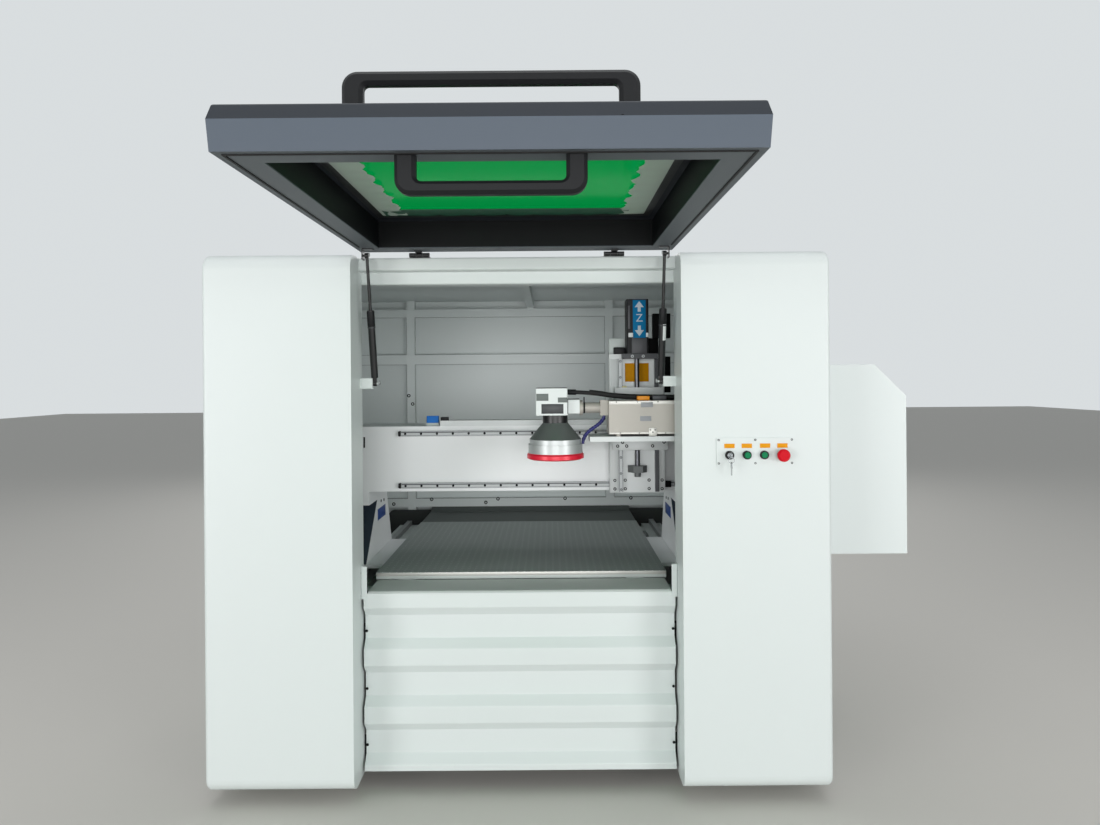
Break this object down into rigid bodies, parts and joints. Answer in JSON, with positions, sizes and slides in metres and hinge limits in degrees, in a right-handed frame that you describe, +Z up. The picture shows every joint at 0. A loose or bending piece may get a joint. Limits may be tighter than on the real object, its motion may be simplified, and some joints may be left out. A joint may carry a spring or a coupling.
{
  "type": "laser marking machine",
  "caption": "Cabinet laser marking machine with a lifting windowed hood, a gantry over a worktable, a vertical marking head and a push-button panel.",
  "frame": {"origin": "centre of the four feet, on the floor", "axes": "+Z up, +Y from the front to the back, +X to the right as seen from the front"},
  "size_m": [2.355, 2.556, 1.951],
  "materials": {
    "white_paint": "satin powder coat",
    "grey_paint": "satin powder coat",
    "slate_paint": "fine textured powder coat",
    "black_paint": "satin",
    "safety_green": "clear tinted pane",
    "black_plastic": "fine moulded grain",
    "black_rubber": "matt",
    "table_grey": "dark anodised",
    "steel": "ground",
    "screw_steel": "ground",
    "plate_aluminium": "milled",
    "dark_aluminium": "anodised",
    "nickel": "satin nickel",
    "lens_silver": "turned",
    "cone_grey": "matt anodised",
    "lens_black": "matt anodised",
    "ring_red": "gloss anodised",
    "clear_glass": "coated",
    "white_housing": "gloss",
    "chrome": "polished",
    "green_plastic": "gloss",
    "red_plastic": "gloss",
    "blue_plastic": "gloss"
  },
  "bodies": {
    "enclosure": {"pillar_left": "white_paint", "pillar_right": "white_paint", "side_panels": "white_paint", "roof_panel": "white_paint", "header": "white_paint", "rear_panel": "white_paint", "base_frame": "black_paint", "feet": "black_rubber", "lower_panel": "white_paint", "ledge": "grey_paint", "stop_plates": "white_paint", "rear_frame": "grey_paint", "side_box": "white_paint", "bed_frame": "grey_paint", "table": "table_grey", "rear_plate": "table_grey", "y_rails": "steel", "hinge_bases": "black_paint", "strut_brackets": "white_paint", "panel_plate": "white_paint", "device_bodies": "black_plastic"},
    "hood": {"hood_shell": "slate_paint", "hood_frame": "slate_paint", "window": "safety_green", "window_retainer": "black_paint", "gasket": "black_rubber", "hood_handles": "black_plastic", "hinge_leaves": "black_paint", "hood_brackets": "black_paint"},
    "left_barrel": {"strut_barrel_left": "black_paint"},
    "right_barrel": {"strut_barrel_right": "black_paint"},
    "left_rod": {"strut_rod_left": "black_paint"},
    "right_rod": {"strut_rod_right": "black_paint"},
    "gantry": {"gantry_legs": "white_paint", "beam": "white_paint", "x_rails": "steel", "beam_strip": "plate_aluminium", "limit_sensor": "blue_plastic", "x_motor": "black_plastic"},
    "x_carriage": {"carriage_plate": "plate_aluminium", "z_rails": "steel", "screw_bearing": "dark_aluminium", "motor_mount": "dark_aluminium", "z_motor": "black_plastic"},
    "z_head": {"head_bracket": "plate_aluminium", "laser_box": "nickel", "beam_tube": "nickel", "galvo_body": "white_housing", "lens_neck": "lens_black", "lens_cone": "cone_grey", "lens_barrel": "lens_silver", "lens_bezel": "ring_red", "lens_glass": "clear_glass", "air_hose": "blue_plastic", "head_cable": "black_rubber"},
    "ball_screw": {"z_screw": "screw_steel"},
    "start_button": {"button_a": "green_plastic"},
    "set_button": {"button_b": "green_plastic"},
    "stop_button": {"mushroom_button": "red_plastic"},
    "key_plug": {"lock_plug": "chrome"}
  },
  "joints": [
    {"name": "hood_hinge", "type": "hinge", "parent": "enclosure", "child": "hood", "pos_m": [0, -0.665, 1.7785], "axis": [1, 0, 0], "range_deg": [0, 90]},
    {"name": "gantry_slide", "type": "slide", "parent": "enclosure", "child": "gantry", "axis": [0, 1, 0], "range_m": [0, 0.57]},
    {"name": "carriage_slide", "type": "slide", "parent": "gantry", "child": "x_carriage", "axis": [1, 0, 0], "range_m": [-0.54, 0.29]},
    {"name": "head_slide", "type": "slide", "parent": "x_carriage", "child": "z_head", "axis": [0, 0, 1], "range_m": [-0.05, 0.1]},
    {"name": "screw_spin", "type": "hinge", "parent": "x_carriage", "child": "ball_screw", "pos_m": [0.43, -0.364, 1.2], "axis": [0, 0, 1], "range_deg": [-1801, 3601]},
    {"name": "start_press", "type": "slide", "parent": "enclosure", "child": "start_button", "axis": [0, 1, 0], "range_m": [0, 0.003], "stiffness_N_per_m": 600, "springref_m": -0.001},
    {"name": "set_press", "type": "slide", "parent": "enclosure", "child": "set_button", "axis": [0, 1, 0], "range_m": [0, 0.003], "stiffness_N_per_m": 600, "springref_m": -0.001},
    {"name": "stop_press", "type": "slide", "parent": "enclosure", "child": "stop_button", "axis": [0, 1, 0], "range_m": [0, 0.004], "stiffness_N_per_m": 1500, "springref_m": -0.001},
    {"name": "key_turn", "type": "hinge", "parent": "enclosure", "child": "key_plug", "pos_m": [0.6735, -0.77, 1.119], "axis": [0, 1, 0], "range_deg": [0, 90]},
    {"name": "left_strut_tilt", "type": "hinge", "parent": "enclosure", "child": "left_barrel", "pos_m": [-0.485, -0.643, 1.354], "axis": [1, 0, 0], "range_deg": [-12.24, 0.1]},
    {"name": "left_rod_slide", "type": "slide", "parent": "left_barrel", "child": "left_rod", "axis": [0, -0.2342, 0.9722], "range_m": [-0.07565, 0.0005]},
    {"name": "right_strut_tilt", "type": "hinge", "parent": "enclosure", "child": "right_barrel", "pos_m": [0.485, -0.643, 1.354], "axis": [1, 0, 0], "range_deg": [-12.24, 0.1]},
    {"name": "right_rod_slide", "type": "slide", "parent": "right_barrel", "child": "right_rod", "axis": [0, -0.2342, 0.9722], "range_m": [-0.07565, 0.0005]}
  ],
  "couplings": [
    {"joint": "screw_spin", "follows": "head_slide", "rad_per_m": 628.32},
    {"joint": "left_strut_tilt", "follows": "hood_hinge", "ratio": -0.13491},
    {"joint": "left_rod_slide", "follows": "hood_hinge", "m_per_rad": -0.047843},
    {"joint": "right_strut_tilt", "follows": "hood_hinge", "ratio": -0.13491},
    {"joint": "right_rod_slide", "follows": "hood_hinge", "m_per_rad": -0.047843}
  ]
}
